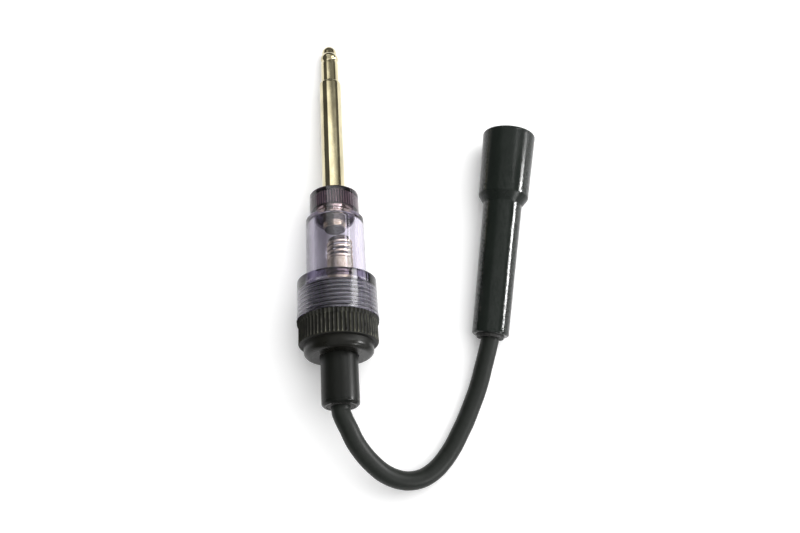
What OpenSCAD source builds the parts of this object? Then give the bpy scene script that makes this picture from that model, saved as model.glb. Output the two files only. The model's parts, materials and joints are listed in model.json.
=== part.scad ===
// Spark plug tester whose spark gap is set by a screw in a clear barrel.
// It lies on a table as it comes to rest: on the rim of the barrel's collar, on the bead of its
// contact pin and on the boot at the end of its lead. Millimetres, +Z up, the table at Z = 0.
// The contact pin points along +Y. The origin is under the middle of the tester without its lead.

/* [Contact pin] */
// Diameter of the plain rod
pin_d = 6.3; // [5.6:0.1:7]
// Length of the plain rod outside the barrel
rod_len = 37.3; // [28:0.1:46]
// Height of the shoulder between the rod and the stud
shoulder = 0.6; // [0.3:0.05:0.9]
// Length of the stud from the shoulder to the end of its nose
stud_len = 13.3; // [10:0.1:18]
// Height of the bead over the stud
bead_rise = 0.05; // [0:0.01:0.3]
// Radius of the bead's round profile
bead_round = 2; // [1.2:0.1:2.2]
// Depth of the neck below the stud
neck_depth = 0.2; // [0.1:0.05:0.4]
// Radius of the round nose
nose_r = 2.15; // [1.7:0.05:2.2]
// Distance from the middle of the bead to the end of the nose
nose_len = 4.3; // [3.8:0.1:5]
// Length of the knurl that holds the pin in the barrel
knurl_len = 4; // [2.5:0.1:5]
// Height of the knurled collar over the rod
knurl_rise = 0.75; // [0.1:0.05:1.2]
// Height of the knurl's teeth over that collar
knurl_h = 0.3; // [0.1:0.05:0.4]
// Number of teeth in the knurl
knurl_teeth = 40; // [16:1:60]
// Depth of the pin's retaining groove
pin_groove = 0.5; // [0.2:0.1:0.8]
// Length of the pin's blunt end inside the chamber
point_len = 3.8; // [2:0.1:4.5]
// Height of the step down to the blunt end
point_step = 0.4; // [0.2:0.05:0.6]

/* [Clear barrel] */
// Wall of the cap round the pin
cap_wall = 3.65; // [2.5:0.05:5]
// Length of the cap
cap_len = 7.6; // [7:0.1:11]
// Wall of the window tube round the chamber
tube_wall = 2.55; // [1.5:0.05:4]
// Length of the window tube
tube_len = 18.3; // [16:0.1:24]
// Space round the electrodes in the chamber
chamber_gap = 2.2; // [1.6:0.05:2.5]
// Height of the chamber's roof over the window tube
roof_rise = 0.3; // [0:0.1:1]
// Radius of the rounded edge of that roof
roof_round = 1.2; // [0.3:0.1:1.5]
// Wall of the collar outside the thread
collar_wall = 1.7; // [1.2:0.05:3]
// Length of the collar
collar_len = 11; // [10:0.1:15]
// Radius of the barrel's rounded edges
edge_r = 0.6; // [0.3:0.05:0.9]
// Widening of the moulding for each millimetre of length
draft = 0.01; // [0:0.002:0.02]
// Height of the lip at the open end of the collar
lip_h = 0.12; // [0.05:0.01:0.3]

/* [Gap nut] */
// Length of the ribbed ring
nut_len = 6.7; // [6:0.1:10]
// Height of the ring over the thread
nut_rim = 1.6; // [1.2:0.1:3]
// Number of ribs
rib_count = 60; // [40:1:72]
// Height of the ribs
rib_h = 0.35; // [0.2:0.05:0.5]
// Length of the raised rim at the top of the ribs
rim_len = 1.3; // [1:0.1:2.5]
// Height of the raised rim over the ribs
rim_rise = 0.35; // [0.1:0.05:0.5]
// Length of the plain band below the ribs
band_len = 1.45; // [1.4:0.05:3]
// Height of the plain band over the ribs
band_rise = 0.06; // [0.03:0.01:0.2]
// Radius of the ring's lower edge
nut_round = 0.8; // [0.4:0.1:1.3]
// Length of the hub
hub_len = 3.1; // [1.5:0.1:4]
// Radius of the hub's lower edge
hub_round = 1.6; // [0.3:0.1:2]
// Step from the ring down to the hub
hub_step = 1.3; // [0.8:0.1:2]
// Length of the threaded shank
shank_len = 8; // [7:0.1:9]
// Wall of the shank under its thread
shank_wall = 1.6; // [1.4:0.05:2.5]
// Height of the thread
thread_h = 0.7; // [0.4:0.05:0.9]
// Pitch of the thread
thread_pitch = 1.15; // [1:0.05:1.6]
// Depth of the pocket in the nut, below its top face
pocket_depth = 2; // [1.5:0.1:4]

/* [Gland and ring] */
// Length of the gland outside the nut
gland_len = 13; // [11:0.1:18]
// Wall of the gland
gland_wall = 1.2; // [0.8:0.05:2]
// Width of the gland's flange
flange_step = 1.5; // [1:0.1:2.5]
// Thickness of the gland's flange
flange_t = 2; // [1.2:0.1:2.5]
// Wall of the gland's tower under the lower electrode
tower_wall = 2; // [1.2:0.1:2.2]
// Height of the gland's tower over its flange
tower_len = 6.9; // [5:0.1:7.2]
// Bevel at the gland's end
gland_bevel = 0.6; // [0.3:0.1:0.8]
// Thickness of the retaining ring
ring_t = 0.9; // [0.6:0.1:1.2]
// Depth of the retaining ring's groove in the nut
ring_bite = 0.5; // [0.3:0.05:0.7]
// Opening in the retaining ring
ring_gap = 3; // [2:0.1:5]
// Wall of the bushes that hold the lead
bush_wall = 1.15; // [0.8:0.05:1.6]
// Length of the gland's bush
gland_bush_len = 9; // [6:0.1:12]

/* [Lower electrode and spring] */
// Diameter of the lower electrode
electrode_d = 6.6; // [5.6:0.1:7]
// Height of the ring round the lower electrode
ring_rise = 0.5; // [0.3:0.05:0.7]
// Length of the smooth barrel above that ring
smooth_len = 3; // [2:0.1:4]
// Thickness of the lower electrode's base
base_t = 1; // [0.6:0.1:1.2]
// Diameter of the lower electrode's tail
tail_d = 4.4; // [4:0.1:4.6]
// Length of the spigot inside the spring
spigot_len = 2.6; // [1.5:0.1:4]
// Diameter of the spring's wire
wire_d = 0.9; // [0.6:0.05:1]
// Turns of the spring
spring_turns = 3; // [2:0.25:3.5]
// Pitch of the spring
spring_pitch = 1.55; // [1.45:0.05:1.8]
// Spark gap with the nut screwed home
spark_gap = 2; // [1:0.1:4]

/* [Lead] */
// Diameter over the lead's insulation
lead_d = 4.8; // [4.5:0.1:5.5]
// Diameter of the conductor
core_d = 1.6; // [1.2:0.1:1.9]
// Wall of the crimp ferrule and of the socket's crimp neck
ferrule_wall = 0.6; // [0.4:0.05:0.7]
// Length of the crimp ferrule
ferrule_len = 8; // [5:0.1:10]
// Length of the lead inside the gland
lead_in_gland = 14.2; // [13:0.1:15]

/* [Boot] */
// Length of the boot
boot_len = 57.8; // [54:0.1:66]
// Diameter of the bore at the boot's mouth, for the plug's insulator
mouth_bore_d = 10.6; // [9:0.1:12]
// Depth of the bore at the boot's mouth
mouth_depth = 16; // [12:0.1:17]
// Wall of the boot at its mouth
mouth_wall = 2; // [1.6:0.1:3]
// Length of the boot's head
head_len = 18.6; // [17:0.1:24]
// Length of the cone behind the head
cone_len = 2.4; // [1.5:0.1:5]
// Narrowing of the head from its mouth to the cone
head_taper = 0.4; // [0:0.05:0.5]
// Wall of the boot round the plug socket
neck_wall = 1.1; // [0.8:0.1:2]
// Wall of the boot at its tail
tail_wall = 1.3; // [0.8:0.1:2]
// Radius of the boot's round tail
tail_round = 1; // [0.5:0.1:1]
// Radius of the boot's mouth edge
mouth_round = 0.6; // [0.3:0.05:0.8]
// Length of the boot's bush
boot_bush_len = 12; // [8:0.1:16]
// Length of the bush that stands out of the boot's tail
bush_proud = 0.8; // [0.3:0.1:1.5]

/* [Plug socket] */
// Diameter of the socket's bore, for the plug's terminal
terminal_d = 6.4; // [6:0.1:7]
// Wall of the socket
socket_wall = 0.5; // [0.4:0.05:0.8]
// Length of the socket
socket_len = 15; // [12:0.1:16]
// Thickness of the socket's closed end
socket_floor = 0.8; // [0.5:0.1:1.5]
// Length of the socket's crimp neck
crimp_len = 5; // [4:0.1:6]
// Diameter of the snap clip's wire
clip_wire_d = 0.7; // [0.5:0.05:0.8]
// Distance of the snap clip from the socket's mouth
clip_drop = 5; // [3:0.1:8]

/* [Fits] */
// Radial clearance of pieces that turn on each other
run_gap = 0.08; // [0.04:0.01:0.1]
// Radial clearance of pieces that are fixed in each other
seat_gap = 0.05; // [0.03:0.01:0.08]
// Radial clearance of the thread
thread_gap = 0.2; // [0.15:0.01:0.25]
// Clearance over the end of the shank
shank_gap = 0.5; // [0.3:0.1:1]
// Room round the snap clip and the socket in the boot
clip_room = 0.1; // [0.05:0.01:0.2]

/* [Lying on the table] */
// Place of the boot's tail, across the tester
boot_x = 39.9; // [38:0.1:44]
// Place of the boot's tail, along the tester
boot_y = -36.5; // [-38:0.1:-34]
// Heading of the boot, to the right of the contact pin
boot_heading = 10.2; // [8:0.1:13]

/* [Hidden] */
$fn = 96;

// Points of the lead between the gland and the boot
lead_points = [
    [0.35, -57, 14.35], [0.95, -58.5, 14.3], [1.75, -60.2, 13.95], [2.95, -63, 13],
    [4.7, -65.8, 11.5], [6.8, -68.3, 10], [9.5, -70.7, 8.2], [12.7, -72.3, 6.5],
    [16.2, -72.9, 5], [19.8, -72.2, 3.8], [23.05, -70.25, 3], [25.7, -67.6, 2.6],
    [28.05, -64.5, 2.5], [29.9, -61.4, 2.5], [31.75, -58.2, 2.5], [33.4, -54.8, 2.5],
    [35, -51.4, 2.7], [36.35, -48, 3.1], [37.5, -44.5, 3.75], [38.6, -41.2, 4.35]
];
// Straight run of the lead out of the gland and into the boot
lead_run = 1.2;

// Radii, from the lead outwards
lead_r = lead_d / 2;
core_r = core_d / 2;
core_hole_r = core_r + 3 * seat_gap;
bush_bore_r = lead_r + seat_gap;
bush_r = bush_bore_r + bush_wall;
gland_bore_r = bush_r + seat_gap;
gland_r = gland_bore_r + gland_wall;
flange_r = gland_r + flange_step;
pocket_r = flange_r + run_gap;
thread_core_r = pocket_r + shank_wall;
thread_mean_r = thread_core_r + thread_h / 2;
thread_r = thread_core_r + thread_h;
nut_r = thread_r + nut_rim;
rib_root_r = nut_r - rib_h;
band_r = nut_r + band_rise;
hub_r = nut_r - hub_step;
collar_r = thread_r + thread_gap + collar_wall;
pin_r = pin_d / 2;
stud_r = pin_r - shoulder;
bead_r = stud_r + bead_rise;
point_r = pin_r - point_step;
knurl_root_r = pin_r + knurl_rise;
knurl_r = knurl_root_r + knurl_h;
cap_r = pin_r + cap_wall;
electrode_r = electrode_d / 2;
ring_rise_r = electrode_r + ring_rise;
chamber_r = max(electrode_r, pin_r) + chamber_gap;
tube_r = chamber_r + tube_wall;
tail_r = tail_d / 2;
tower_r = tail_r + seat_gap + tower_wall;
ferrule_r = core_r + seat_gap + ferrule_wall;
coil_r = electrode_r - wire_d / 2;
spigot_r = coil_r - wire_d / 2 - 4 * seat_gap;

// Heights along the tester's axis, from the face where nut and collar meet
z_step2 = collar_len;
z_step1 = z_step2 + tube_len;
z_cap = z_step1 + cap_len;
z_shoulder = z_cap + rod_len;
z_tip = z_shoulder + stud_len;
z_bead = z_tip - nose_len;
z_roof = z_step1 + roof_rise;
z_point = z_roof - point_len;
knurl_inset = 0.4;
z_knurl = z_cap - knurl_inset - knurl_len;
z_hub = -nut_len - hub_len;
z_gland = z_hub - gland_len;
z_pocket = -pocket_depth;
z_flange = z_pocket + run_gap;
z_flange_top = z_flange + flange_t;
z_ring = z_flange_top + run_gap;
z_tower = z_flange_top + tower_len;
z_lead_in = z_gland + lead_in_gland;
z_thread_top = shank_len + shank_gap;
tail_drop = 1;
z_tail = z_lead_in + tail_drop;
z_ferrule = z_tail + ferrule_len;
spring_bend = 1;
spring_h = wire_d + spring_bend + spring_turns * spring_pitch + wire_d / 2;
z_seat = z_point - spark_gap - spring_h;
z_smooth = z_seat - smooth_len;

// Heights along the boot's axis, from its tail
b_socket = boot_len - mouth_depth - socket_len;
b_crimp = b_socket - crimp_len;
b_lead = b_crimp - seat_gap * 4;
b_cone = boot_len - head_len - cone_len;
b_core = b_socket - seat_gap * 4;
socket_bore_r = terminal_d / 2;
socket_r = socket_bore_r + socket_wall;
clip_seat_r = socket_r - socket_wall / 2;
boot_chamber_r = clip_seat_r + clip_wire_d + clip_room;
boot_neck_r = boot_chamber_r + neck_wall;
mouth_r = mouth_bore_d / 2 + mouth_wall;
boot_tail_r = gland_bore_r + tail_wall;

// Angle at which a turned piece lies on two rounded rims, each [height, radius, round], and the
// height of its axis over the table at height 0
function lean(a, b) =
    let (rise = (a[1] - a[2]) - (b[1] - b[2]), run = b[0] - a[0])
    atan2(rise, run) + asin((a[2] - b[2]) / norm([rise, run]));
function axis_height(a, angle) = a[0] * sin(angle) + (a[1] - a[2]) * cos(angle) + a[2];

collar_rim = [z_step2 - edge_r, collar_r - draft * collar_len, edge_r];
bead_rim = [z_bead, bead_r, bead_round];
tester_lean = lean(collar_rim, bead_rim);
tester_h = axis_height(collar_rim, tester_lean);
y_front = (z_tip - nose_r) * cos(tester_lean) + nose_r;
y_back = z_gland * cos(tester_lean) - (gland_r - gland_bevel) * sin(tester_lean);
tester_y = -(y_front + y_back) / 2;

tail_rim = [tail_round, boot_tail_r, tail_round];
head_rim = [boot_len - head_len, mouth_r - head_taper, 0];
mouth_rim = [boot_len - mouth_round, mouth_r, mouth_round];
boot_lean = min(lean(tail_rim, head_rim), lean(tail_rim, mouth_rim));
boot_h = axis_height(tail_rim, boot_lean);

// Points on the tester's axis and on the boot's axis, as they lie
function on_tester(z) = [0, tester_y + z * cos(tester_lean), tester_h - z * sin(tester_lean)];
function on_boot(z) = [
    boot_x + z * cos(boot_lean) * sin(boot_heading),
    boot_y + z * cos(boot_lean) * cos(boot_heading),
    boot_h - z * sin(boot_lean)
];

module on_tester_axis() {
    translate(on_tester(0)) rotate([-90 - tester_lean, 0, 0]) children();
}

module on_boot_axis() {
    translate(on_boot(0)) rotate([0, 0, -boot_heading]) rotate([-90 - boot_lean, 0, 0]) children();
}

// Outlines of turned pieces: a round from one angle to another, and a groove cut into a radius
round_steps = 6;
function round_edge(r, z, radius, from, to) = [
    for (i = [0:round_steps]) let (a = from + (to - from) * i / round_steps)
        [r + radius * cos(a), z + radius * sin(a)]
];
function groove(r, z, width, depth) = [[r, z], [r - depth, z], [r - depth, z + width], [r, z + width]];

module turned(outline) {
    rotate_extrude() polygon(outline);
}

// Rings of points joined into one closed tube; rings turn anticlockwise, seen from the far end
function tube_sides(count, sides, first = 0, inward = false) = [
    for (i = [0:count - 2], j = [0:sides - 1])
        let (
            a = first + i * sides + j,
            b = first + i * sides + (j + 1) % sides,
            c = a + sides,
            d = b + sides
        )
        each inward ? [[a, d, c], [a, b, d]] : [[a, c, d], [a, d, b]]
];
function flat(lists) = [for (list = lists) each list];

module solid_tube(rings) {
    sides = len(rings[0]);
    count = len(rings);
    last = (count - 1) * sides;
    polyhedron(flat(rings), concat(
        tube_sides(count, sides),
        [for (j = [1:sides - 2]) [0, j, j + 1]],
        [for (j = [1:sides - 2]) [last, last + j + 1, last + j]]
    ), convexity = 10);
}

module hollow_tube(outer, inner) {
    sides = len(outer[0]);
    count = len(outer);
    first = count * sides;
    last = (count - 1) * sides;
    polyhedron(concat(flat(outer), flat(inner)), concat(
        tube_sides(count, sides),
        tube_sides(count, sides, first, true),
        [for (j = [0:sides - 1]) let (k = (j + 1) % sides) each
            [[j, k, first + k], [j, first + k, first + j]]],
        [for (j = [0:sides - 1]) let (k = (j + 1) % sides) each
            [[last + j, first + last + k, last + k], [last + j, first + last + j, first + last + k]]]
    ), convexity = 10);
}

// A round thread is a circle that goes round the axis once for each pitch of height
thread_sides = 32;
thread_steps = 8;
module thread_core(radius, from, to) {
    count = ceil((to - from) / thread_pitch * thread_steps);
    solid_tube([
        for (i = [0:count]) let (z = from + (to - from) * i / count, turn = 360 * z / thread_pitch) [
            for (j = [0:thread_sides - 1]) let (a = 360 * j / thread_sides)
                [thread_h / 2 * cos(turn) + radius * cos(a), thread_h / 2 * sin(turn) + radius * sin(a), z]
        ]
    ]);
}

// Rings of a cord along its points, level across
function unit(v) = v / norm(v);
function along(points, i) =
    unit(points[min(i + 1, len(points) - 1)] - points[max(i - 1, 0)]);
function cord_rings(points, radius, sides) = [
    for (i = [0:len(points) - 1])
        let (t = along(points, i), n = unit(cross(t, [0, 0, 1])), b = cross(t, n))
        [for (j = [0:sides - 1]) let (a = 360 * j / sides) points[i] + radius * (cos(a) * n + sin(a) * b)]
];

module contact_pin() {
    neck_r = stud_r - neck_depth;
    bead_in = bead_r - bead_round;
    at_neck = -acos((neck_r - bead_in) / bead_round);
    at_nose = acos((nose_r - bead_in) / bead_round);
    bevel = 0.4;
    fine = 0.3;
    groove_z = (z_roof + z_knurl) / 2;
    outline = concat(
        [[0, z_point], [point_r - bevel, z_point], [point_r, z_point + bevel]],
        groove(point_r, z_point + 2 * fine, fine, fine),
        [[point_r, z_point + 4 * fine], [pin_r, z_point + 4 * fine]],
        groove(pin_r, z_point + 5 * fine, fine, fine),
        groove(pin_r, groove_z - pin_groove, 2 * pin_groove, pin_groove),
        groove(pin_r, z_knurl, z_cap - z_knurl, fine),
        [[pin_r, z_shoulder - bevel], [pin_r - bevel, z_shoulder], [stud_r, z_shoulder]],
        [[stud_r, z_bead - bead_round], [neck_r, z_bead - bead_round + neck_depth]],
        [for (p = round_edge(z_bead, bead_in, bead_round, 90 - at_neck, 90 - at_nose)) [p[1], p[0]]],
        round_edge(0, z_tip - nose_r, nose_r, 0, 90)
    );
    color([0.80, 0.66, 0.28]) on_tester_axis() union() {
        turned(outline);
        translate([0, 0, z_knurl]) linear_extrude(knurl_len) polygon([
            for (i = [0:knurl_teeth - 1], crest = [0, 1])
                let (a = 360 * (i + crest / 2) / knurl_teeth, r = crest ? knurl_r : knurl_root_r)
                [r * cos(a), r * sin(a)]
        ]);
    }
}

module barrel() {
    pin_hole_r = pin_r + seat_gap;
    knurl_hole_r = knurl_r + seat_gap;
    outline = concat(
        [[chamber_r, 0]],
        round_edge(chamber_r - roof_round, z_roof - roof_round, roof_round, 0, 90),
        [[pin_hole_r, z_roof], [pin_hole_r, z_knurl]],
        [[knurl_hole_r, z_knurl], [knurl_hole_r, z_knurl + knurl_len]],
        [[pin_hole_r, z_knurl + knurl_len], [pin_hole_r, z_cap]],
        round_edge(cap_r - draft * cap_len - edge_r, z_cap - edge_r, edge_r, 90, 0),
        [[cap_r, z_step1]],
        round_edge(tube_r - draft * tube_len - edge_r, z_step1 - edge_r, edge_r, 90, 0),
        [[tube_r, z_step2]],
        round_edge(collar_rim[1] - edge_r, collar_rim[0], edge_r, 90, 0),
        [[collar_r, 10 * lip_h], [collar_r + lip_h, 9 * lip_h], [collar_r + lip_h, 0]]
    );
    color([0.74, 0.68, 0.88, 0.5]) on_tester_axis() difference() {
        turned(outline);
        thread_core(thread_mean_r + thread_gap, -1, z_thread_top);
    }
}

// Ring of half-round ribs that stand on a radius, between two heights
rib_steps = 8;
module rib_ring(root_r, from, to) {
    translate([0, 0, from]) linear_extrude(to - from) polygon([
        for (i = [0:rib_count - 1], k = [0:rib_steps - 1])
            let (
                a = 360 * (i + k / rib_steps) / rib_count,
                r = root_r + rib_h * sqrt(sin(180 * k / rib_steps))
            )
            [r * cos(a), r * sin(a)]
    ]);
}

module gap_nut() {
    rib_z = -(nut_len - band_len);
    overlap = 0.5;
    lower = concat(
        [[0, rib_z], [band_r, rib_z]],
        round_edge(band_r - nut_round, -nut_len + nut_round, nut_round, 0, -90),
        [[hub_r, -nut_len]],
        round_edge(hub_r - hub_round, z_hub + hub_round, hub_round, 0, -90),
        [[0, z_hub]]
    );
    color([0.13, 0.13, 0.12]) on_tester_axis() difference() {
        union() {
            turned(lower);
            rib_ring(rib_root_r, rib_z, overlap - rim_len);
            rib_ring(rib_root_r + rim_rise, -rim_len, 0);
            thread_core(thread_mean_r, -overlap, shank_len);
        }
        translate([0, 0, z_hub - 1]) cylinder(r = gland_r + run_gap, h = shank_len - z_hub);
        translate([0, 0, z_pocket]) cylinder(r = pocket_r, h = shank_len - z_pocket + 1);
        translate([0, 0, z_ring - run_gap]) cylinder(r = pocket_r + ring_bite, h = ring_t + 2 * run_gap);
    }
}

module retaining_ring() {
    ring_in = tower_r + 4 * seat_gap;
    ring_out = pocket_r + ring_bite - seat_gap;
    color([0.62, 0.63, 0.64]) on_tester_axis() translate([0, 0, z_ring]) difference() {
        cylinder(r = ring_out, h = ring_t);
        translate([0, 0, -1]) cylinder(r = ring_in, h = ring_t + 2);
        translate([0, -ring_gap / 2, -1]) cube([ring_out + 1, ring_gap, ring_t + 2]);
    }
}

module lead_gland() {
    z_bush_top = z_gland + gland_bush_len;
    color([0.09, 0.09, 0.10]) on_tester_axis() turned([
        [gland_bore_r, z_gland], [gland_r - gland_bevel, z_gland], [gland_r, z_gland + gland_bevel],
        [gland_r, z_flange], [flange_r, z_flange], [flange_r, z_flange_top],
        [tower_r, z_flange_top], [tower_r, z_tower], [tail_r + seat_gap, z_tower],
        [tail_r + seat_gap, z_lead_in], [bush_bore_r, z_lead_in],
        [bush_bore_r, z_bush_top], [gland_bore_r, z_bush_top]
    ]);
}

module lead_bush(length) {
    difference() {
        cylinder(r = bush_r, h = length);
        translate([0, 0, -1]) cylinder(r = bush_bore_r, h = length + 2);
    }
}

module gland_bush() {
    color([0.10, 0.10, 0.10]) on_tester_axis() translate([0, 0, z_gland]) lead_bush(gland_bush_len);
}

module boot_bush() {
    color([0.10, 0.10, 0.10]) on_boot_axis() translate([0, 0, -bush_proud])
        lead_bush(boot_bush_len + bush_proud);
}

module lower_electrode() {
    base_r = tower_r - seat_gap;
    ring_h = 1;
    fine = 0.4;
    bevel = 0.3;
    outline = concat(
        [[ferrule_r + seat_gap, z_tail], [tail_r, z_tail], [tail_r, z_tower], [base_r, z_tower]],
        [[base_r, z_tower + base_t], [electrode_r, z_tower + base_t]],
        groove(electrode_r, z_smooth - ring_h - 3 * fine, fine, fine),
        [[electrode_r, z_smooth - ring_h], [ring_rise_r, z_smooth - ring_h]],
        [[ring_rise_r, z_smooth], [electrode_r, z_smooth], [electrode_r, z_seat]],
        [[spigot_r, z_seat], [spigot_r, z_seat + spigot_len - bevel]],
        [[spigot_r - bevel, z_seat + spigot_len], [0, z_seat + spigot_len]],
        [[0, z_ferrule + seat_gap], [ferrule_r + seat_gap, z_ferrule + seat_gap]]
    );
    color([0.70, 0.62, 0.40]) on_tester_axis() turned(outline);
}

// The spring's wire rises straight from its seat, bends over and climbs in a coil
curl_steps = 8;
wire_sides = 6;
bend_steps = 3;
climb = atan(spring_pitch / (360 * coil_r * PI / 180));
bend_run = spring_bend * (1 - sin(climb)) / coil_r * 180 / PI;
spring_path = concat(
    [[0, 0], [0, wire_d]],
    [for (i = [1:bend_steps]) let (a = (90 - climb) * i / bend_steps)
        [spring_bend * (1 - cos(a)) / coil_r * 180 / PI, wire_d + spring_bend * sin(a)]],
    [for (i = [1:spring_turns * curl_steps]) let (part = i / curl_steps)
        [bend_run + 360 * part, wire_d + spring_bend * cos(climb) + spring_pitch * part]]
);
spring_points = [for (p = spring_path) [coil_r * cos(p[0]), coil_r * sin(p[0]), p[1]]];
spring_rings = [
    for (i = [0:len(spring_points) - 1])
        let (
            out = [cos(spring_path[i][0]), sin(spring_path[i][0]), 0],
            ahead = i < 2 ? [0, 0, 1] : along(spring_points, i),
            t = unit(ahead - (ahead * out) * out),
            b = cross(t, out)
        )
        [for (j = [0:wire_sides - 1]) let (a = 360 * j / wire_sides)
            spring_points[i] + wire_d / 2 * (cos(a) * out + sin(a) * b)]
];
spring_self_gap = min([
    for (i = [0:len(spring_points) - 1], j = [i + curl_steps - 2:1:len(spring_points) - 1])
        norm(spring_points[i] - spring_points[j])
]) - wire_d;
echo(contact_spring_least_gap = spring_self_gap);

module contact_spring() {
    color([0.72, 0.70, 0.62]) on_tester_axis() translate([0, 0, z_seat]) solid_tube(spring_rings);
}

module lead_ferrule() {
    color([0.75, 0.55, 0.35]) on_tester_axis() translate([0, 0, z_tail]) difference() {
        cylinder(r = ferrule_r, h = ferrule_len);
        translate([0, 0, -1]) cylinder(r = core_r + seat_gap, h = ferrule_len + 2);
    }
}

// The lead leaves the gland straight, comes down to the table, turns back and goes into the boot
lead_route = concat(
    [on_tester(z_gland), on_tester(z_gland - lead_run)],
    lead_points,
    [on_boot(-lead_run), on_boot(0)]
);
cord_sides = 10;

module lead_insulation() {
    points = concat([on_tester(z_lead_in - seat_gap)], lead_route, [on_boot(b_lead)]);
    color([0.08, 0.08, 0.09])
        hollow_tube(cord_rings(points, lead_r, cord_sides), cord_rings(points, core_hole_r, cord_sides));
}

module lead_conductor() {
    points = concat([on_tester(z_ferrule - seat_gap)], lead_route, [on_boot(b_core)]);
    color([0.72, 0.45, 0.28]) solid_tube(cord_rings(points, core_r, cord_sides));
}

module plug_boot() {
    head_r = mouth_r - head_taper;
    outline = concat(
        [[gland_bore_r, 0]],
        round_edge(boot_tail_r - tail_round, tail_round, tail_round, -90, 0),
        [[boot_neck_r, b_cone], [head_r, b_cone + cone_len]],
        round_edge(mouth_r - mouth_round, boot_len - mouth_round, mouth_round, 0, 90),
        [[mouth_bore_d / 2, boot_len], [mouth_bore_d / 2, boot_len - mouth_depth]],
        [[boot_chamber_r, boot_len - mouth_depth], [boot_chamber_r, b_socket], [bush_bore_r, b_socket]],
        [[bush_bore_r, boot_bush_len], [gland_bore_r, boot_bush_len]]
    );
    color([0.07, 0.07, 0.07]) on_boot_axis() turned(outline);
}

module plug_socket() {
    clip_z = b_socket + socket_len - clip_drop - clip_wire_d / 2;
    outline = concat(
        [[core_r + seat_gap, b_crimp], [ferrule_r, b_crimp], [ferrule_r, b_socket]],
        groove(socket_r, clip_z, clip_wire_d, socket_wall / 2),
        [[socket_r, b_socket + socket_len], [socket_bore_r, b_socket + socket_len]],
        [[socket_bore_r, b_socket + socket_floor], [0, b_socket + socket_floor]],
        [[0, b_socket], [core_r + seat_gap, b_socket]]
    );
    color([0.78, 0.74, 0.62]) on_boot_axis() turned(concat([outline[0], outline[1], outline[2]],
        [[socket_r, b_socket]], [for (i = [3:len(outline) - 1]) outline[i]]));
}

module socket_clip() {
    ring_r = clip_seat_r + clip_wire_d / 2 + seat_gap / 2;
    round_r = clip_wire_d / 2 - seat_gap;
    color([0.70, 0.70, 0.72]) on_boot_axis() translate([0, 0, b_socket + socket_len - clip_drop])
        rotate([0, 0, 30]) rotate_extrude(angle = 300) translate([ring_r, 0]) circle(r = round_r, $fn = 24);
}

contact_pin();
barrel();
gap_nut();
retaining_ring();
lead_gland();
gland_bush();
lower_electrode();
contact_spring();
lead_ferrule();
lead_insulation();
lead_conductor();
boot_bush();
plug_boot();
plug_socket();
socket_clip();
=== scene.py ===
import json
import math
import bmesh
import bpy
from mathutils import Matrix, Vector, noise


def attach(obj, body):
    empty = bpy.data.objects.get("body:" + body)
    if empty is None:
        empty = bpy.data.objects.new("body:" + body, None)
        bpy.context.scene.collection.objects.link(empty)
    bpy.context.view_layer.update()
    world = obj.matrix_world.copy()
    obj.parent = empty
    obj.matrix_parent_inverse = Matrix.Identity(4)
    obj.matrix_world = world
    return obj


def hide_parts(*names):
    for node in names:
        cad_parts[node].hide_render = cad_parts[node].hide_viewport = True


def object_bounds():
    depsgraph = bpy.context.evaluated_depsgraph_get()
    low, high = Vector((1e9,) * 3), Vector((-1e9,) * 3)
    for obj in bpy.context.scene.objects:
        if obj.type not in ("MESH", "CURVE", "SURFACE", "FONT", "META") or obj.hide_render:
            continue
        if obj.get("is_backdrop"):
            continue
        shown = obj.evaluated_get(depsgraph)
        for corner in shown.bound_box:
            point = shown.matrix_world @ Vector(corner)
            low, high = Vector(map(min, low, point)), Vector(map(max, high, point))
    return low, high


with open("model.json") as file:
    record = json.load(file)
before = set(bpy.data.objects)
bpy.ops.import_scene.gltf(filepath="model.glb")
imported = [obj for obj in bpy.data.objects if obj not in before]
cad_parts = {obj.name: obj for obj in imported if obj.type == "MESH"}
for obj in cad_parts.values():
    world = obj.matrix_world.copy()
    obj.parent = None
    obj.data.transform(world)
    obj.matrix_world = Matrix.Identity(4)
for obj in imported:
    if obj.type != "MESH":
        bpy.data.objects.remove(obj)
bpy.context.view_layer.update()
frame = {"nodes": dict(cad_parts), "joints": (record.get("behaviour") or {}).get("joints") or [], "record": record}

# Camera, paper and light
# The tester lies on white paper in a dim room, under a softbox. Three strip lamps at the right
# show only as reflections. The camera looks down on it, steeply, from the side of the lead.
scene = bpy.context.scene
scene.view_settings.view_transform = "Standard"

camera = bpy.data.objects.new("camera", bpy.data.cameras.new("camera"))
camera.location = (0.01255, -0.09169, 0.23826)
camera.rotation_euler = (math.radians(18.05), 0, math.radians(-3.42))
camera.data.lens = 40.5
camera.data.sensor_width = 36
scene.collection.objects.link(camera)
scene.camera = camera


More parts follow.
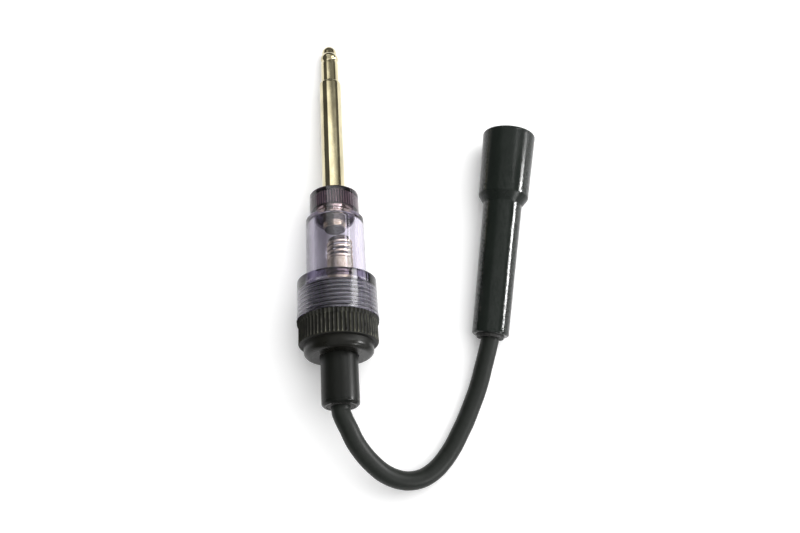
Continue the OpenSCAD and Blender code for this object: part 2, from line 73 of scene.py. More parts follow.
class Value:
    """A socket of a finish. Sums and products of values add Math nodes."""

    def __init__(self, tree, socket=None):
        self.tree = tree
        self.socket = socket

    def node(self, kind, settings=(), inputs=(), output=0):
        """A new node: its settings first, then the values or links of its sockets."""
        made = self.tree.nodes.new("ShaderNode" + kind)
        for key, setting in dict(settings).items():
            setattr(made, key, setting)
        for key, value in dict(inputs).items():
            if isinstance(value, Value):
                self.tree.links.new(value.socket, made.inputs[key])
            else:
                made.inputs[key].default_value = value
        return Value(self.tree, made.outputs[output])

    def math(self, operation, *values):
        return self.node("Math", {"operation": operation}, dict(enumerate(values)))

    def __add__(self, other):
        return self.math("ADD", self, other)

    def __sub__(self, other):
        return self.math("SUBTRACT", self, other)

    def __rsub__(self, other):
        return self.math("SUBTRACT", other, self)

    def __mul__(self, other):
        return self.math("MULTIPLY", self, other)

    __radd__ = __add__
    __rmul__ = __mul__

    def span(self, low, high, start=0.0, end=1.0):
        """start where the value is low, end where it is high, smooth in between."""
        settings = {"interpolation_type": "SMOOTHSTEP"}
        return self.node("MapRange", settings, {0: self, 1: low, 2: high, 3: start, 4: end})

    def part(self, axis):
        """One coordinate of a vector."""
        return self.node("SeparateXYZ", inputs={0: self}, output=axis)

    def into(self, shader, socket):
        self.tree.links.new(self.socket, shader.inputs[socket])


room = bpy.data.worlds.new("room")
room.use_nodes = True
scene.world = room
ray = Value(room.node_tree)
way = ray.node("TexCoord", output="Generated")
right, ahead, rise = (way.part(axis) for axis in "XYZ")
panels = ahead.span(0.20, 0.34, 0.65, 0.35) + ahead.span(0.46, 0.50, 0.0, 0.15)
panels = panels + ahead.span(0.545, 0.575, 0.0, 1.7)
edges = right.span(-0.50, -0.40) * right.span(0.62, 0.80, 1.0, 0.0) * rise.span(0.3, 0.45)
dim = ahead.span(0.58, 0.64, 0.28, 0.12)
tapering = (right + 5.2 * ahead).span(3.22, 3.62, 1.0, dim) * ahead.span(0.60, 0.73, 1.0, 0.27)
walls = right.span(-0.1, 0.5, 0.10, 0.14)
camera_ray = ray.node("LightPath", output="Is Camera Ray")
lit = (panels * edges * tapering + walls) * (1 - camera_ray) + camera_ray
lit.into(room.node_tree.nodes["Background"], "Color")

paper_reach = 30.0
paper_mesh = bpy.data.meshes.new("paper")
corners = [(x * paper_reach, y * paper_reach, 0) for x, y in ((-1, -1), (1, -1), (1, 1), (-1, 1))]
paper_mesh.from_pydata(corners, [], [(0, 1, 2, 3)])
paper = bpy.data.objects.new("paper", paper_mesh)
scene.collection.objects.link(paper)
paper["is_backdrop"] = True


def new_finish(name, constants):
    """A material, a first value to make its nodes from, and its shader."""
    material = bpy.data.materials.new(name)
    material.use_nodes = True
    shader = material.node_tree.nodes["Principled BSDF"]
    for socket, value in constants.items():
        shader.inputs[socket].default_value = value
    return material, Value(material.node_tree), shader


paper_finish, ray, shader = new_finish("white_paper", {
    "Roughness": 0.9, "Specular IOR Level": 0.1, "Emission Strength": 1.0,
})
seen = [ray.node("LightPath", output=f"Is {kind} Ray") for kind in ("Camera", "Glossy", "Transmission")]
shown = (seen[0] + seen[1] + seen[2]).span(0, 1)
from_tester = ray.node("TexCoord", output="Object")
from_tester = ray.node("VectorMath", {"operation": "LENGTH"}, {0: from_tester}, output="Value")
(shown * 0.2 + seen[0] * from_tester.span(0.25, 0.7, 0.0, 0.8)).into(shader, "Emission Color")
shown.span(0, 1, 0.82, 0.95).into(shader, "Base Color")
paper_mesh.materials.append(paper_finish)

lamp_aim, lamp_reach = Vector((0.02, -0.01, 0.006)), 0.6
for name, way, long, high, energy in (
    ("softbox", (0.48, 0.16, 0.86), 0.80, 0.80, 4.7),
    ("low_strip", (0.95, 0.07, 0.24), 0.13, 0.10, 3.0),
    ("soft_strip", (0.68, 0.41, 0.61), 0.08, 0.34, 0.75),
    ("near_strip", (0.72, -0.58, 0.33), 0.18, 0.12, 1.5),
):
    lamp = bpy.data.objects.new(name, bpy.data.lights.new(name, "AREA"))
    way = Vector(way).normalized()
    lamp.location = lamp_aim + lamp_reach * way
    lamp.rotation_euler = way.to_track_quat("Z", "Y").to_euler()
    lamp.data.shape = "RECTANGLE"
    lamp.data.size = long
    lamp.data.size_y = high
    lamp.data.energy = energy
    lamp.visible_glossy = name != "softbox"
    lamp.visible_diffuse = name == "softbox"
    scene.collection.objects.link(lamp)

# Contact pin
# A turned steel pin with yellow plating: a beaded stud, a shoulder, a long plain rod, and a
# knurl and a groove that hold it in the clear plastic. Its blunt end is one side of the gap.
nut_turn = next(j for j in frame["joints"] if j["name"] == "nut_turn")


def stand(point, axis):
    """From millimetres along an axis that starts at a point to the frame's metres."""
    turn = Vector(axis).to_track_quat("Z", "Y").to_matrix().to_4x4()
    return Matrix.Translation(point) @ turn @ Matrix.Scale(0.001, 4)


tester = stand(nut_turn["pos_m"], -Vector(nut_turn["axis"]))
z_point, z_groove, groove_len, z_cap = 25.8, 30.5, 1.1, 36.9
z_shoulder, z_bead, z_tip = 74.2, 83.2, 87.5
pin_r, stud_r, point_r, nose_r = 3.15, 2.55, 2.75, 2.15
point_line_r, rod_line_r, pin_groove_r = 2.45, 2.85, 2.65
bead_in, bead_round, neck_r = 0.6, 2.0, 2.35
z_knurl, knurl_top, knurl_teeth, knurl_low, knurl_high = 32.5, 36.5, 40, 3.9, 4.2


def soften(corners, steps=6):
    """An outline of (radius, height) points, from corners (radius, height, round)."""
    outline = []
    for i, corner in enumerate(corners):
        at, size = Vector(corner[:2]), (corner[2] if len(corner) > 2 else 0)
        if not size:
            outline.append(tuple(at))
            continue
        back = Vector(corners[i - 1][:2]) - at
        ahead = Vector(corners[(i + 1) % len(corners)][:2]) - at
        half = back.angle(ahead) / 2
        reach = min(size / math.tan(half), 0.49 * back.length, 0.49 * ahead.length)
        middle = at + (back.normalized() + ahead.normalized()).normalized() * reach / math.cos(half)
        start, end = at + back.normalized() * reach - middle, at + ahead.normalized() * reach - middle
        sweep = start.angle_signed(end)
        for k in range(steps + 1):
            outline.append(tuple(middle + Matrix.Rotation(-sweep * k / steps, 2) @ start))
    return outline


def arc(radius, height, size, start, end, steps=12):
    """Points round a centre, from one angle to another, in degrees."""
    turns = [math.radians(start + (end - start) * k / steps) for k in range(steps + 1)]
    return [(radius + size * math.cos(a), height + size * math.sin(a)) for a in turns]


def turned(outline, segments, place, form=None, step=None):
    """A closed mesh turned from an outline; form moves its points, and step sets how close."""
    points = []
    for (r0, z0), (r1, z1) in zip(outline, outline[1:] + outline[:1]):
        count = max(1, math.ceil(math.hypot(r1 - r0, z1 - z0) / step)) if step else 1
        points += [(r0 + (r1 - r0) * k / count, z0 + (z1 - z0) * k / count) for k in range(count)]
    made = bmesh.new()
    rings = []
    for radius, height in points:
        ring = []
        for k in range(segments):
            angle = 2 * math.pi * k / segments
            r, z = form(radius, height, angle) if form else (radius, height)
            ring.append(made.verts.new(place @ Vector((r * math.cos(angle), r * math.sin(angle), z))))
        rings.append(ring)
    for near, far in zip(rings, rings[1:] + rings[:1]):
        for k in range(segments):
            after = (k + 1) % segments
            made.faces.new((near[k], near[after], far[after], far[k]))
    bmesh.ops.remove_doubles(made, verts=made.verts, dist=1e-8)
    bmesh.ops.dissolve_degenerate(made, edges=made.edges, dist=1e-8)
    return made


def piece(name, made, material, body, slot, *nodes, sharp=35):
    """The finished piece, which rides on a body and stands for CAD nodes."""
    bmesh.ops.recalc_face_normals(made, faces=made.faces)
    mesh = bpy.data.meshes.new(name)
    made.to_mesh(mesh)
    made.free()
    mesh.shade_smooth()
    mesh.set_sharp_from_angle(angle=math.radians(sharp))
    mesh.materials.append(material)
    shown = bpy.data.objects.new(name, mesh)
    scene.collection.objects.link(shown)
    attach(shown, body)
    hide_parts(*nodes)
    return shown


def in_mm(first, place):
    """Where a point of a piece is, in millimetres along the piece's own axis."""
    point, turn, scale = place.decompose()
    return first.node("Mapping", {"vector_type": "TEXTURE"}, {
        "Vector": first.node("TexCoord", output="Object"),
        "Location": point, "Rotation": turn.to_euler(), "Scale": scale,
    })


def from_axis(where):
    """How far a point of a piece is from the piece's own axis, in millimetres."""
    flat = where.node("VectorMath", {"operation": "MULTIPLY"}, {0: where, 1: (1, 1, 0)})
    return where.node("VectorMath", {"operation": "LENGTH"}, {0: flat}, output="Value")


def grain(where, scale, detail=2.0, stretch=(1, 1, 1)):
    """Soft random patches, about 1 / scale millimetres wide."""
    drawn = where.node("Mapping", inputs={"Vector": where, "Scale": stretch})
    return where.node("TexNoise", inputs={"Vector": drawn, "Scale": scale, "Detail": detail})


def mix(mask, low, high):
    """One colour where the mask is 0, the other where it is 1."""
    return mask.node("Mix", {"data_type": "RGBA"}, {0: mask, 6: low, 7: high}, output=2)


def bump(height, strength, distance):
    """A normal that follows a height, in millimetres."""
    return height.node("Bump", inputs={
        "Height": height, "Strength": strength, "Distance": distance * 0.001,
    })


plating, first, shader = new_finish("yellow_plating", {})
where = in_mm(first, tester)
along, out = where.part("Z"), from_axis(where)
patches = grain(where, 0.55, 4.0, (1, 1, 0.3))
clouds = grain(where, 1.7, 3.0, (1, 1, 0.12))
gold = mix(patches.span(0.35, 0.65), (0.50, 0.44, 0.27, 1), (0.66, 0.59, 0.37, 1))
tarnish = mix(clouds.span(0.52, 0.75, 0.0, 0.5), gold, (0.36, 0.335, 0.22, 1))
# Painted shade: the pin's blunt end in the chamber is painted near-black, dull and not metallic. The rest of the
# bare tip keeps the unplated metal's colour.
end = along.span(z_point + 0.3, z_point + 0.7, 1.0, 0.0)
bare = mix(end, (0.56, 0.49, 0.38, 1), (0.03, 0.03, 0.028, 1))
# Painted shade: the knurl's roots are painted near-black, and its crests keep a lighter brown.
teeth_with_root_shade = mix(out.span(knurl_low + 0.05, knurl_high - 0.05), (0.03, 0.025, 0.025, 1), (0.26, 0.19, 0.17, 1))
at_knurl, past_cap = (z_knurl - 0.2, z_knurl + 0.1), (z_cap - 0.1, z_cap + 0.1)
inside = mix(along.span(*at_knurl), bare, teeth_with_root_shade)
mix(along.span(*past_cap), inside, tarnish).into(shader, "Base Color")
rough_knurl = along.span(*at_knurl) * along.span(knurl_top + 0.1, knurl_top + 0.3, 1.0, 0.0)
(1 - rough_knurl - end).into(shader, "Metallic")
along.span(*past_cap, 0.0, 0.6).into(shader, "Coat Weight")
(0.05 + 0.08 * clouds + 0.4 * rough_knurl + 0.5 * end).into(shader, "Roughness")
tool_marks = along.math("SINE", along * 46.0)
bump(tool_marks * 0.4 + grain(where, 3.0, 3.0, (1, 1, 0.4)), 0.08, 0.012).into(shader, "Normal")


def knurled(radius, height, angle):
    """Pointed teeth round the knurl, and the plain pin elsewhere."""
    if radius < knurl_low:
        return radius, height
    tooth = abs((angle * knurl_teeth / math.pi) % 2 - 1)
    return knurl_low + (knurl_high - knurl_low) * tooth, height


neck_turn = -math.degrees(math.acos((neck_r - bead_in) / bead_round))
nose_turn = math.degrees(math.acos((nose_r - bead_in) / bead_round))
pin_outline = soften([
    (0, z_point), (point_r, z_point, 0.12), (point_r, z_point + 0.6, 0.08),
    (point_line_r, z_point + 0.65, 0.05), (point_line_r, z_point + 0.85, 0.05),
    (point_r, z_point + 0.9, 0.08), (point_r, z_point + 1.2), (pin_r, z_point + 1.22, 0.15),
    (pin_r, z_point + 1.5, 0.08), (rod_line_r, z_point + 1.53, 0.05),
    (rod_line_r, z_point + 1.77, 0.05), (pin_r, z_point + 1.8, 0.08),
    (pin_r, z_groove, 0.15), (pin_groove_r, z_groove + 0.1, 0.1),
    (pin_groove_r, z_groove + groove_len - 0.1, 0.1), (pin_r, z_groove + groove_len, 0.15),
    (pin_r, z_knurl), (knurl_low, z_knurl + 0.1), (knurl_low, knurl_top - 0.1),
    (pin_r, knurl_top), (pin_r, z_shoulder, 0.45), (stud_r, z_shoulder, 0.06),
    (stud_r, z_bead - bead_round, 0.1), (neck_r, z_bead - bead_round + 0.2, 0.1),
]) + arc(bead_in, z_bead, bead_round, neck_turn, nose_turn) + arc(0, z_tip - nose_r, nose_r, 8, 90)
piece("contact_pin_turned", turned(pin_outline, knurl_teeth * 4, tester, knurled, 0.6), plating,
      "barrel_assembly", "pin_metal", "contact_pin")

# Clear barrel
# Violet-tinted clear plastic, moulded round the pin: a cap, a window tube with an air chamber,
# and a collar with a round thread inside, a mould line and a little flash at its open end.
cap_r, tube_r, collar_r, lip_r = 6.8, 8.05, 10.63, 10.75
cap_top_r, tube_top_r, collar_top_r = 6.72, 7.87, 10.52
z_roof, z_step1, z_step2, z_thread = 29.6, 29.3, 11.0, 8.5
chamber_r, moulded_r, edge = 5.5, 2.4, 0.35
thread_r, thread_gap, thread_h, thread_pitch = 8.38, 0.2, 0.7, 1.15
bore_r = thread_r + thread_gap
thread_end_r = bore_r + thread_h / 2
mould_turn, mould_rise, mould_width = math.radians(141), 0.06, 0.2
flash_turn, flash_rise, flash_width = 1.55, 0.12, 0.25

clear, first, shader = new_finish("clear_violet", {
    "Transmission Weight": 1.0, "IOR": 1.49, "Specular IOR Level": 0.25,
})
where = in_mm(first, tester)
side, along, out = where.part("X"), where.part("Z"), from_axis(where)
flow = grain(where, 0.25, 3.0, (1, 1, 0.35))
outside = out.span(chamber_r + 0.1, chamber_r + 0.5)
above_thread = along.span(z_thread - 0.1, z_thread + 0.3)
shaded_ledge = above_thread * along.span(z_step2, z_step2 + 0.15, 1.0, 0.0) * outside
# The tint is partly the plastic's violet and random flow streaks, and partly painted shade: it is darker on the
# tube's left side, away from the light.
tint_with_painted_shade = mix((side * 0.16 + flow * 0.4).span(0.2, 0.9), (0.74, 0.70, 0.82, 1), (0.30, 0.28, 0.34, 1))
tint_with_painted_shade = mix(outside, (1, 1, 1, 1), tint_with_painted_shade)
# Painted shade: the collar here, and the cap below, get a darker tint than the tube.
tint_with_painted_shade = mix(above_thread, (0.44, 0.42, 0.49, 1), tint_with_painted_shade)
# Painted shade: a near-black band on the outside of the collar's shoulder.
tint_with_painted_shade = mix(shaded_ledge, tint_with_painted_shade, (0.05, 0.04, 0.08, 1))
tint_with_painted_shade = mix(along.span(z_step1 - 0.1, z_step1 + 0.15), tint_with_painted_shade, (0.45, 0.39, 0.54, 1))
# Painted shade: the chamber's roof is painted near-black.
shaded_roof = along.span(z_roof - 1.1, z_roof - 0.7) * out.span(chamber_r + 0.05, chamber_r + 0.1, 1.0, 0.0)
mix(shaded_roof, tint_with_painted_shade, (0.03, 0.025, 0.045, 1)).into(shader, "Base Color")
inner = out.span(thread_end_r + 0.02, thread_end_r + 0.27, 1.0, 0.0)
in_collar = along.span(z_thread - 0.2, z_thread + 0.1, 1.0, 0.0)
(0.03 + (0.07 + 0.35 * inner) * in_collar).into(shader, "Roughness")
bump(grain(where, 0.6, 2.0, (1, 1, 0.4)), 0.25, 0.03).into(shader, "Normal")


def thread_wave(angle, height):
    """A round thread: a circle that runs round the axis once for each pitch."""
    return thread_h / 2 * math.cos(angle - 2 * math.pi * height / thread_pitch)


def moulded(radius, height, angle):
    """The thread in the collar's bore, the mould line outside, and flash on the lip."""
    if abs(radius - bore_r) < 0.01:
        return radius + thread_wave(angle, height), height
    if radius > cap_r - 0.2:
        radius += mould_rise * math.exp(-(((angle - mould_turn) * radius / mould_width) ** 2))
    if height < 0.01 and radius > 10:
        flash = flash_rise * max(0, noise.noise((40 * angle, 0, 3)))
        radius += flash * math.exp(-((angle - flash_turn) / flash_width) ** 2)
    return radius, height


barrel_outline = soften([
    (moulded_r, z_cap), (cap_top_r, z_cap, edge), (cap_r, z_step1, 0.12), (tube_top_r, z_step1, edge),
    (tube_r, z_step2, 0.15), (collar_top_r, z_step2, edge), (collar_r, 1.2, 0.1), (lip_r, 1.05, 0.1),
    (lip_r, 0, 0.08), (bore_r, 0), (bore_r, z_thread), (chamber_r, z_thread, 0.3),
    (chamber_r, z_roof, 1.2), (moulded_r, z_roof),
])
piece("barrel_moulded", turned(barrel_outline, 288, tester, moulded, 0.11), clear,
      "barrel_assembly", "clear_plastic", "barrel", sharp=50)

# Gap nut
# Olive-black nylon: a ring of half-round ribs with a raised rim, a hub, and a threaded shank
# that shows through the collar. Turning it moves the barrel and so sets the gap.
nut_r, rib_h, rib_count, rim_rise, rim_len = 10.33, 0.35, 60, 0.35, 1.3
nut_len, band_len, band_r, hub_r, z_hub, shank_len = 6.7, 1.45, 10.39, 9.03, -9.8, 8.0
nut_bore_r, pocket_r, z_pocket = 4.93, 6.43, -2.0
ring_groove_r, z_ring_low, z_ring_top = 6.93, 0.08, 1.14

nylon, first, shader = new_finish("black_nylon", {"Specular IOR Level": 0.22})
where = in_mm(first, tester)
side, along, out = where.part("X"), where.part("Z"), from_axis(where)
patches = grain(where, 0.5, 3.0)
# The rib crests are lighter, partly from rubbing wear and partly as a painted highlight. Near the ribs' lower ends
# they are painted brighter still.
worn = out.span(nut_r - 0.23, nut_r - 0.01, 0.0, 0.8) * patches.span(0.3, 0.6)
# Painted shade: the lighter crests fade on the nut's left side, away from the light.
worn = worn * side.span(2.0, 8.0, 1.0, 0.3) * along.span(0.1 - nut_len, 0.4 - nut_len)
worn = worn * along.span(-rim_len - 0.1, 0.4 - rim_len, 1.0, 0.2)
black = mix(patches, (0.004, 0.004, 0.003, 1), (0.012, 0.012, 0.009, 1))
crest_wear_and_highlight = mix(along.span(0.7 - nut_len, 1.2 - nut_len), (0.150, 0.145, 0.105, 1), (0.100, 0.100, 0.074, 1))
ribs = mix(worn, black, crest_wear_and_highlight)
mix(along.span(0.02, 0.1), ribs, (0.075, 0.072, 0.080, 1)).into(shader, "Base Color")
((0.58 - 0.14 * patches) * along.span(z_hub + 1.4, z_hub + 2.6, 0.55, 1.0)).into(shader, "Roughness")
bump(grain(where, 9.0, 3.0), 0.3, 0.02).into(shader, "Normal")


def smooth(value, low, high):
    """0 below low, 1 above high, smooth in between."""
    t = min(1, max(0, (value - low) / (high - low)))
    return t * t * (3 - 2 * t)


def ribbed(radius, height, angle):
    """Ribs with round ends on the ring, flared at its rim, and the thread on the shank."""
    if abs(radius - thread_r) < 0.01 and height > -0.01:
        return radius + thread_wave(angle, height), height
    if radius < nut_r - 1.2 or height < -nut_len + 0.1:
        return radius, height
    rib = abs(math.sin(angle * rib_count / 2)) ** 5
    ribs = smooth(height, -nut_len + 0.15, -nut_len + 0.6)
    flare = rim_rise * smooth(height, -rim_len - 0.2, -rim_len + 0.45)
    return radius - rib_h * ribs * (1 - rib) + flare, height


nut_outline = soften([
    (nut_bore_r, z_hub, 0.2), (hub_r, z_hub, 1.6), (hub_r, -nut_len, 0.15), (band_r, -nut_len, 0.8),
    (nut_r + 0.03, band_len - nut_len), (nut_r, band_len - nut_len + 0.3), (nut_r, 0, 0.12),
    (thread_r, 0), (thread_r, shank_len), (pocket_r, shank_len, 0.2), (pocket_r, z_ring_top),
    (ring_groove_r, z_ring_top), (ring_groove_r, z_ring_low), (pocket_r, z_ring_low),
    (pocket_r, z_pocket), (nut_bore_r, z_pocket),
])
piece("gap_nut_ribbed", turned(nut_outline, rib_count * 10, tester, ribbed, 0.13), nylon,
      "nut", "nut_plastic", "gap_nut", sharp=50)

# Retaining ring and snap clip
# Spring steel: a flat split ring that keeps the gland's flange in the nut, and a wire clip
# round the plug socket. Both are sprung into grooves, and hardly show.
steel, first, shader = new_finish("spring_steel", {"Metallic": 1.0})
where = in_mm(first, tester)
rub = grain(where, 1.5, 4.0)
mix(rub, (0.50, 0.49, 0.46, 1), (0.70, 0.68, 0.64, 1)).into(shader, "Base Color")
(0.22 + 0.2 * rub).into(shader, "Roughness")
bump(grain(where, 8.0, 2.0), 0.2, 0.01).into(shader, "Normal")


def dress(node, material):
    """Gives a CAD node that stays its finish."""
    mesh = frame["nodes"][node].data
    mesh.materials.clear()
    mesh.materials.append(material)


dress("retaining_ring", steel)
dress("socket_clip", steel)

# Gland
# Black satin plastic sleeve on which the nut turns. Its flange sits in the nut's pocket, its
# tower carries the lower electrode, and its bevelled end takes the lead in a bush.
z_gland, z_flange, z_flange_top, z_tower, z_lead_in = -22.8, -1.92, 0.08, 6.98, -8.6
gland_r, flange_r, tower_r, tower_bore_r = 4.85, 6.35, 4.25, 2.25
bush_r, lead_r, bush_len, fit_gap = 3.6, 2.4, 9, 0.05
bush_hole_r, lead_hole_r = bush_r + fit_gap, lead_r + fit_gap

satin, first, shader = new_finish("black_satin_plastic", {"Specular IOR Level": 0.17})
where = in_mm(first, tester)
drawn = grain(where, 1.4, 3.0, (1, 1, 0.08))
scuff = grain(where, 0.9, 5.0)
mix(drawn, (0.005, 0.006, 0.005, 1), (0.012, 0.013, 0.011, 1)).into(shader, "Base Color")
polished = where.part("Z").span(z_gland + 0.6, z_gland + 2.0, 0.65, 1.0)
((0.29 + 0.15 * scuff) * polished).into(shader, "Roughness")
bump(drawn * 0.7 + grain(where, 7.0, 2.0) * 0.3, 0.25, 0.02).into(shader, "Normal")

gland_outline = soften([
    (bush_hole_r, z_gland, 0.1), (gland_r - 0.6, z_gland, 0.25), (gland_r, z_gland + 0.6, 0.5),
    (gland_r, z_flange), (flange_r, z_flange, 0.1), (flange_r, z_flange_top, 0.1),
    (tower_r, z_flange_top, 0.1), (tower_r, z_tower, 0.2), (tower_bore_r, z_tower),
    (tower_bore_r, z_lead_in), (lead_hole_r, z_lead_in), (lead_hole_r, z_gland + bush_len),
    (bush_hole_r, z_gland + bush_len),
])
piece("lead_gland_sleeve", turned(gland_outline, 96, tester), satin,
      "lead_assembly", "gland_plastic", "lead_gland")

# Lower electrode and its spring
# A turned brass contact with worn nickel plating that stands on the gland's tower, with a ring
# round it and a coil of bright wire on its spigot, which is the other side of the gap.
z_tail, z_ferrule, z_seat, z_ring, spigot_len = -7.6, 0.45, 16.8, 12.8, 2.6
electrode_r, ring_r, spigot_r, line_r = 3.5, 3.85, 2.2, 2.7
ferrule_hole_r, tail_r, foot_r, askew_by = 1.5, 2.2, 4.2, 1.1

nickel, first, shader = new_finish("worn_nickel", {"Metallic": 1.0})
where = in_mm(first, tester)
along = where.part("Z")
bare = grain(where, 0.8, 4.0, (1, 1, 0.5))
worn = mix(bare.span(0.35, 0.65), (0.60, 0.53, 0.42, 1), (0.38, 0.32, 0.23, 1))
# Painted shade: the spigot inside the spring is painted near-black.
mix(along.span(z_seat, z_seat + 0.2), worn, (0.08, 0.07, 0.06, 1)).into(shader, "Base Color")
(0.30 + 0.18 * bare).into(shader, "Roughness")
tool_marks = along.math("SINE", along * 30.0)
bump(tool_marks * 0.5 + grain(where, 5.0), 0.15, 0.01).into(shader, "Normal")

electrode_outline = soften([
    (ferrule_hole_r, z_tail), (tail_r, z_tail, 0.1), (tail_r, z_tower), (foot_r, z_tower, 0.1),
    (foot_r, z_tower + 1, 0.25), (electrode_r, z_tower + 1, 0.15), (electrode_r, z_ring - 1.2, 0.05),
    (line_r, z_ring - 1.15, 0.05), (line_r, z_ring - 0.85, 0.05), (electrode_r, z_ring - 0.8, 0.05),
    (electrode_r, z_ring, 0.05), (ring_r, z_ring, 0.25), (ring_r, z_ring + 1, 0.35),
    (electrode_r, z_ring + 1, 0.1), (electrode_r, z_seat, 0.25), (spigot_r, z_seat, 0.1),
    (spigot_r, z_seat + spigot_len, 0.4), (0, z_seat + spigot_len), (0, z_ferrule),
    (ferrule_hole_r, z_ferrule),
])


def askew(made):
    """The electrode and its spring stand a little to the right of the axis."""
    for point in made.verts:
        own = tester.inverted() @ point.co
        own.x -= askew_by * smooth(own.z, z_tower, z_tower + 5)
        point.co = tester @ own
    return made


piece("lower_electrode_turned", askew(turned(electrode_outline, 96, tester)), nickel,
      "lead_assembly", "electrode_metal", "lower_electrode")


def tube(path, radius, sides):
    """A round closed tube along points; its sides don't twist."""
    made = bmesh.new()
    across = (path[1] - path[0]).orthogonal().normalized()
    rings = []
    for i, point in enumerate(path):
        ahead = (path[min(i + 1, len(path) - 1)] - path[max(i - 1, 0)]).normalized()
        across = (across - ahead * across.dot(ahead)).normalized()
        up = ahead.cross(across)
        turns = [2 * math.pi * k / sides for k in range(sides)]
        spokes = [math.cos(a) * across + math.sin(a) * up for a in turns]
        rings.append([made.verts.new(point + radius * spoke) for spoke in spokes])
    for near, far in zip(rings, rings[1:]):
        for k in range(sides):
            after = (k + 1) % sides
            made.faces.new((near[k], near[after], far[after], far[k]))
    made.faces.new(rings[0])
    made.faces.new(rings[-1])
    return made


coil_r, wire_r, coil_turns, coil_top, coil_steps = 3.0, 0.5, 4.55, 23.3, 32
flat_turns, narrow_turns, narrow_by = 0.3, 1.1, 0.9

wire, first, shader = new_finish("bright_wire", {"Metallic": 1.0})
where = in_mm(first, tester)
rub = grain(where, 2.0, 3.0)
# Painted shade: the inner side of the coil, towards the spigot, is painted near-black.
out = from_axis(where.node("VectorMath", inputs={0: where, 1: (askew_by, 0, 0)}))
bright = mix(rub, (0.60, 0.51, 0.40, 1), (0.84, 0.74, 0.60, 1))
mix(out.span(coil_r + 0.1, coil_r + 0.35), (0.07, 0.055, 0.045, 1), bright).into(shader, "Base Color")
(0.18 + 0.14 * rub).into(shader, "Roughness")
bump(grain(where, 9.0, 2.0), 0.15, 0.01).into(shader, "Normal")

coil_path = []
for k in range(int(coil_turns * coil_steps) + 1):
    turn = k / coil_steps
    climb = max(0, turn - flat_turns) / (coil_turns - flat_turns)
    reach = coil_r - narrow_by * smooth(turn, coil_turns - narrow_turns, coil_turns)
    angle = 2 * math.pi * turn
    height = z_seat + wire_r + climb * (coil_top - z_seat - wire_r)
    coil_path.append(tester @ Vector((reach * math.cos(angle), reach * math.sin(angle), height)))
piece("contact_spring_coil", askew(tube(coil_path, wire_r * 0.001, 14)), wire,
      "lead_assembly", "spring_steel", "contact_spring")

# Boot
# A black rubber boot, moulded in one: a smooth tail, a slim neck, a cone and a wider head with
# a thin mouth. Its skin is glossy, pitted and a little uneven, as moulded rubber is.
mouth = next(m for m in frame["record"]["mounts"] if m["name"] == "boot_mouth")
boot_len = 57.8
boot_axis = Vector(mouth["axis"])
boot_tail = Vector(mouth["pos_m"]) - boot_axis * (boot_len - mouth["dims"]["length_mm"] / 2) * 0.001
boot_place = stand(boot_tail, boot_axis)
b_cone, b_head, b_seat, b_socket, b_bush = 36.8, 39.2, 41.8, 26.8, 12.0
boot_tail_r, boot_neck_r, head_r, mouth_r = 4.95, 5.35, 6.9, 7.3
mouth_bore_r, socket_room_r, hold_r = 5.3, 4.25, 2.45

rubber, first, shader = new_finish("black_rubber", {"Specular IOR Level": 0.16, "Coat Roughness": 0.16})
where = in_mm(first, boot_place)
skin = grain(where, 0.35, 4.0, (1, 1, 0.5))
dust = grain(where, 3.5, 5.0).span(0.62, 0.78, 0.0, 0.35)
black = mix(skin, (0.008, 0.011, 0.009, 1), (0.016, 0.020, 0.017, 1))
mix(dust, black, (0.045, 0.044, 0.040, 1)).into(shader, "Base Color")
along = where.part("Z")
pits = grain(where, 1.8, 2.0).span(0.45, 0.60, 0.38, 0.0)
dull = along.span(b_cone - 0.6, b_cone + 0.1) * along.span(b_head - 0.3, b_head + 0.4, 1.0, 0.0)
(pits * along.span(38, 58, 1.0, 0.4) * (1 - dull)).into(shader, "Coat Weight")
matt = 0.25 * dust + 0.18 * dull + along.span(42, 56, 0.0, 0.16)
(0.05 + 0.08 * skin + matt).into(shader, "Roughness")
bump(skin * 0.2 + grain(where, 3.0, 2.0) * 0.8, 0.7, 0.06).into(shader, "Normal")


def uneven(radius, height, angle):
    """The outer skin swells and sinks a little."""
    if radius < 4.5 or height > boot_len - 0.8 or height < 0.8:
        return radius, height
    where = Vector((math.cos(angle), math.sin(angle), height * 0.12)) * 1.3
    return radius - 0.05 * (0.5 + 0.5 * noise.noise(where)), height


boot_outline = soften([
    (bush_hole_r, 0, 0.3), (boot_tail_r, 0, 1.0), (boot_neck_r, b_cone, 0.5), (head_r, b_head, 0.9),
    (mouth_r, boot_len, 0.6), (mouth_bore_r, boot_len, 0.5), (mouth_bore_r, b_seat, 0.3),
    (socket_room_r, b_seat, 0.2), (socket_room_r, b_socket), (hold_r, b_socket), (hold_r, b_bush),
    (bush_hole_r, b_bush),
])
boot = piece("plug_boot_moulded", turned(boot_outline, 96, boot_place, uneven, 0.8), rubber,
             "lead_assembly", "boot_rubber", "plug_boot")

# Bushes
# Short black sleeves that hold the lead in the gland and in the boot. The boot's one stands a
# little out of the tail, and its cut end is ragged.
bush_proud = 0.8


def in_frame(first):
    """Where a point of a piece is in the frame, in millimetres."""
    point = first.node("TexCoord", output="Object")
    return first.node("VectorMath", {"operation": "SCALE"}, {0: point, "Scale": 1000.0})


sleeve, first, shader = new_finish("black_sleeve", {"Specular IOR Level": 0.4})
where = in_frame(first)
torn = grain(where, 2.2, 4.0)
mix(torn.span(0.4, 0.7), (0.014, 0.014, 0.013, 1), (0.050, 0.050, 0.046, 1)).into(shader, "Base Color")
(0.45 + 0.2 * torn).into(shader, "Roughness")
bump(torn, 0.4, 0.05).into(shader, "Normal")


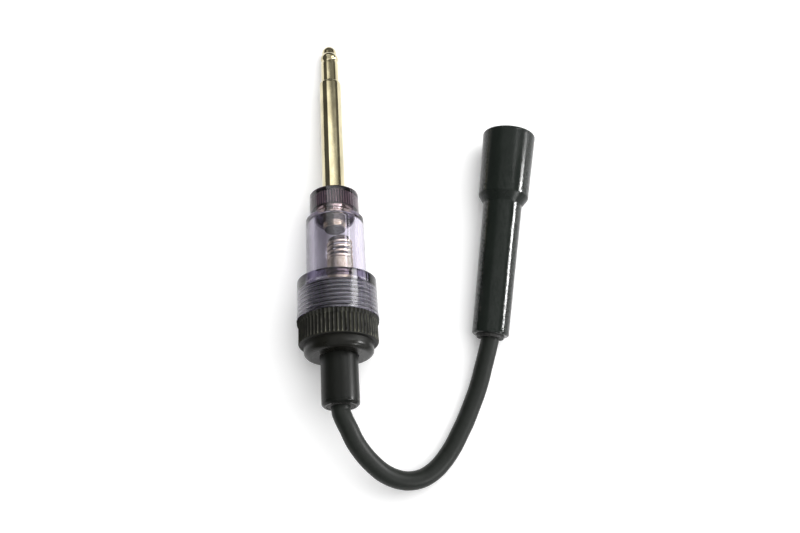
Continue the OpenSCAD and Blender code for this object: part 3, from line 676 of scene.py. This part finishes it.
def ragged(radius, height, angle):
    """The sleeve's cut end has torn bits."""
    if height > -0.2:
        return radius, height
    tear = max(0, noise.noise((3 * math.cos(angle), 3 * math.sin(angle), radius)))
    return radius - 0.25 * tear, height + 0.45 * tear


boot_bush = piece("boot_bush_ragged", turned(soften([
    (lead_hole_r, -bush_proud), (bush_r, -bush_proud, 0.15), (bush_r, b_bush), (lead_hole_r, b_bush),
]), 72, boot_place, ragged), sleeve, "lead_assembly", "bush_plastic", "boot_bush")
piece("gland_bush_sleeve", turned(soften([
    (lead_hole_r, z_gland, 0.1), (bush_r, z_gland, 0.2),
    (bush_r, z_gland + bush_len), (lead_hole_r, z_gland + bush_len),
]), 72, tester), sleeve, "lead_assembly", "bush_plastic", "gland_bush")

# Plug socket
# A tinned brass cup that takes the plug's terminal. It is crimped on the conductor, and it
# sits in the boot below the mouth.
tin, first, shader = new_finish("tinned_brass", {"Metallic": 1.0})
where = in_mm(first, boot_place)
dull = grain(where, 0.9, 4.0)
mix(dull, (0.55, 0.49, 0.36, 1), (0.72, 0.68, 0.58, 1)).into(shader, "Base Color")
(0.22 + 0.2 * dull).into(shader, "Roughness")
bump(grain(where, 5.0, 3.0), 0.2, 0.02).into(shader, "Normal")
dress("plug_socket", tin)

# Lead
# A short, thick, flexible high-voltage lead: stranded copper in black rubber. It leaves the
# gland straight, comes down to the table, turns back and goes into the boot's tail.
copper, first, shader = new_finish("stranded_copper", {"Metallic": 1.0})
where = in_frame(first)
strands = grain(where, 3.0, 3.0)
mix(strands, (0.50, 0.22, 0.11, 1), (0.80, 0.42, 0.25, 1)).into(shader, "Base Color")
(0.25 + 0.2 * strands).into(shader, "Roughness")
bump(strands, 0.4, 0.1).into(shader, "Normal")
dress("lead_conductor", copper)
dress("lead_ferrule", copper)

cover, first, shader = new_finish("lead_cover", {"Specular IOR Level": 0.22})
where = in_frame(first)
skin = grain(where, 0.5, 4.0)
specks = grain(where, 4.0, 4.0).span(0.6, 0.75, 0.0, 0.3)
black = mix(skin, (0.008, 0.010, 0.008, 1), (0.016, 0.019, 0.016, 1))
mix(specks, black, (0.050, 0.050, 0.044, 1)).into(shader, "Base Color")
(0.40 + 0.14 * skin).into(shader, "Roughness")
bump(skin * 0.6 + grain(where, 6.0, 3.0) * 0.4, 0.3, 0.05).into(shader, "Normal")

lead_points = [
    (0.35, -57, 14.35), (0.95, -58.5, 14.3), (1.75, -60.2, 13.95), (2.95, -63, 13),
    (4.7, -65.8, 11.5), (6.8, -68.3, 10), (9.5, -70.7, 8.2), (12.7, -72.3, 6.5),
    (16.2, -72.9, 5), (19.8, -72.2, 3.8), (23.05, -70.25, 3), (25.7, -67.6, 2.6),
    (28.05, -64.5, 2.5), (29.9, -61.4, 2.5), (31.75, -58.2, 2.5), (33.4, -54.8, 2.5),
    (35, -51.4, 2.7), (36.35, -48, 3.1), (37.5, -44.5, 3.75), (38.6, -41.2, 4.35),
]
in_gland = [tester @ Vector((0, 0, z)) for z in (-8.65, -12.2, -15.7, -19.3, z_gland, z_gland - 1.2)]
in_boot = [boot_place @ Vector((0, 0, z)) for z in (-1.2, 0, 3.6, 7.2, 10.8, 14.4, 18.0, 21.6)]
knots = in_gland + [Vector(p) * 0.001 for p in lead_points] + in_boot
lead_path, knot_steps = [], 8
for i in range(len(knots) - 1):
    a, b, c, d = (knots[min(max(k, 0), len(knots) - 1)] for k in (i - 1, i, i + 1, i + 2))
    for k in range(knot_steps):
        t = k / knot_steps
        bent = (2 * a - 5 * b + 4 * c - d) * t * t + (3 * b - a - 3 * c + d) * t * t * t
        lead_path.append(0.5 * (2 * b + (c - a) * t + bent))
lead_path.append(knots[-1])
lead = piece("lead_cover", tube(lead_path, lead_r * 0.001, 40), cover,
             "lead_assembly", "lead_cover", "lead_insulation")
lead_length = sum((b - a).length for a, b in zip(lead_path, lead_path[1:]))
tester @ Vector((0, 0, z_gland))

# Sizes
# The dressed part's box is found.
low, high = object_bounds()
